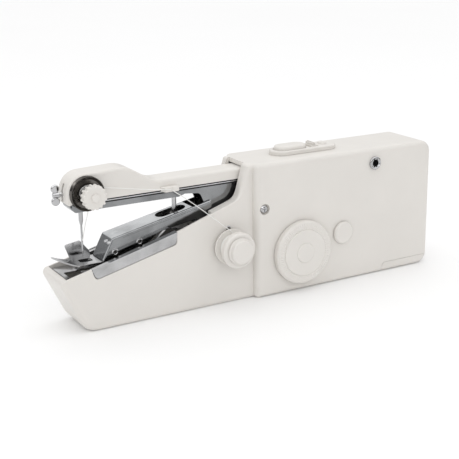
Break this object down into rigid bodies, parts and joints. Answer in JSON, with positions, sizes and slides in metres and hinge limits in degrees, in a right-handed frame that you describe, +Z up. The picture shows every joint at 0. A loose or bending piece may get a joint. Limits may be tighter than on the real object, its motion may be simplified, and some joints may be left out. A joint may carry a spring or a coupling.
{
  "type": "handheld sewing machine",
  "caption": "Handheld battery sewing machine with a swinging needle arm, presser foot, side bobbin, hand wheel and sliding battery door.",
  "frame": {"origin": "on the flat base, below the step where the rear block begins, on the mid-plane between the two casing halves", "axes": "+X along the machine towards the battery end, +Z up, +Y towards the far side, away from the hand wheel and bobbin"},
  "size_m": [0.2079, 0.0417, 0.0735],
  "materials": {
    "white_plastic": "satin moulded",
    "bright_steel": "polished",
    "pressed_steel": "satin pressed sheet",
    "spring_steel": "drawn wire",
    "brass": "turned",
    "gear_plastic": "moulded",
    "black_plastic": "moulded",
    "black_rubber": "matt",
    "cell_wrap": "film wrap",
    "white_thread": "twisted thread"
  },
  "bodies": {
    "root": {"casing_near": "white_plastic", "casing_far": "white_plastic", "switch_base": "white_plastic", "battery_partition": "white_plastic", "casing_screws": "bright_steel", "dc_jack": "bright_steel", "spool_pin": "bright_steel", "thread_eyelet": "bright_steel", "bearing_plate": "pressed_steel", "idler_axle": "pressed_steel", "motor_can": "pressed_steel", "battery_contacts": "pressed_steel", "arm_pivot_pin": "pressed_steel", "needle_plate": "pressed_steel", "lever_pivot_pin": "pressed_steel", "looper_pivot_pin": "pressed_steel", "battery_springs": "spring_steel", "looper_spring": "spring_steel", "spool_spring": "spring_steel", "shaft_bushes": "brass", "switch_body": "black_plastic", "motor_end_cap": "black_plastic", "drive_belt": "black_rubber", "battery_cells": "cell_wrap", "thread_run": "white_thread"},
    "drive": {"handwheel": "white_plastic", "drive_shaft": "pressed_steel", "main_gear": "gear_plastic", "crank_disc": "pressed_steel", "drive_pulley": "black_plastic"},
    "idler": {"idler_gear": "gear_plastic"},
    "rotor": {"motor_shaft": "pressed_steel", "motor_pinion": "brass"},
    "winder": {"winder_knob": "white_plastic", "winder_shaft": "pressed_steel", "winder_pulley": "black_plastic"},
    "arm": {"needle_arm": "pressed_steel", "arm_cover": "white_plastic", "needle_clamp": "pressed_steel", "needle": "bright_steel", "tension_stud": "bright_steel", "inner_disc": "bright_steel", "outer_disc": "bright_steel", "tension_spring": "spring_steel", "thread_guide": "white_plastic", "push_pin": "bright_steel", "push_pin_spring": "spring_steel", "needle_thread": "white_thread"},
    "dial": {"tension_dial": "white_plastic"},
    "clamp_screw_body": {"clamp_screw": "bright_steel"},
    "foot": {"presser_lever": "pressed_steel", "presser_foot": "pressed_steel"},
    "looper": {"looper_lever": "pressed_steel"},
    "bobbin_body": {"bobbin": "white_plastic", "bobbin_thread": "white_thread"},
    "cap": {"spool_cap": "white_plastic"},
    "button": {"power_button": "white_plastic"},
    "lock": {"lock_slider": "white_plastic"},
    "door": {"battery_door": "white_plastic"}
  },
  "joints": [
    {"name": "handwheel_spin", "type": "hinge", "parent": "root", "child": "drive", "pos_m": [0.0261, -0.01, 0.0207], "axis": [0, 1, 0], "continuous": true},
    {"name": "idler_spin", "type": "hinge", "parent": "root", "child": "idler", "pos_m": [0.03308, -0.005, 0.03987], "axis": [0, 1, 0], "continuous": true},
    {"name": "rotor_spin", "type": "hinge", "parent": "root", "child": "rotor", "pos_m": [0.04581, 0, 0.04722], "axis": [0, 1, 0], "continuous": true},
    {"name": "winder_spin", "type": "hinge", "parent": "root", "child": "winder", "pos_m": [0.0515, -0.012, 0.0263], "axis": [0, 1, 0], "continuous": true},
    {"name": "needle_arm_swing", "type": "hinge", "parent": "root", "child": "arm", "pos_m": [0.014, 0, 0.057], "axis": [0, 1, 0], "range_deg": [-8.5, 0], "deforming": ["push_pin_spring", "thread_run", "looper_spring"]},
    {"name": "presser_foot_swing", "type": "hinge", "parent": "root", "child": "foot", "pos_m": [-0.022, 0, 0.039], "axis": [0, 1, 0], "range_deg": [-2.55, 0]},
    {"name": "looper_swing", "type": "hinge", "parent": "root", "child": "looper", "pos_m": [-0.074, 0.002, 0.008], "axis": [0, 1, 0], "range_deg": [0, 11.05]},
    {"name": "tension_dial_turn", "type": "hinge", "parent": "arm", "child": "dial", "pos_m": [-0.083, -0.015, 0.0642], "axis": [0, 1, 0], "range_deg": [-180, 180]},
    {"name": "clamp_screw_turn", "type": "hinge", "parent": "arm", "child": "clamp_screw_body", "pos_m": [-0.092, 0, 0.0634], "axis": [1, 0, 0], "range_deg": [-180, 180]},
    {"name": "bobbin_spin", "type": "hinge", "parent": "root", "child": "bobbin_body", "pos_m": [-0.0134, -0.019, 0.0293], "axis": [0, 1, 0], "continuous": true},
    {"name": "spool_cap_pull", "type": "slide", "parent": "root", "child": "cap", "axis": [0, -1, 0], "range_m": [0, 0.012]},
    {"name": "power_button_press", "type": "slide", "parent": "root", "child": "button", "axis": [0, 0, -1], "range_m": [0, 0.0006], "stiffness_N_per_m": 600, "springref_m": -0.0005},
    {"name": "lock_slide", "type": "slide", "parent": "root", "child": "lock", "axis": [1, 0, 0], "range_m": [-0.001, 0.001]},
    {"name": "battery_door_slide", "type": "slide", "parent": "root", "child": "door", "axis": [1, 0, 0], "range_m": [0, 0.058]}
  ],
  "couplings": [
    {"joint": "idler_spin", "follows": "handwheel_spin", "ratio": -4.6667},
    {"joint": "rotor_spin", "follows": "handwheel_spin", "ratio": 20.741},
    {"joint": "winder_spin", "follows": "handwheel_spin", "ratio": 5},
    {"joint": "presser_foot_swing", "follows": "needle_arm_swing", "ratio": 0.3},
    {"joint": "looper_swing", "follows": "needle_arm_swing", "ratio": -1.3}
  ]
}
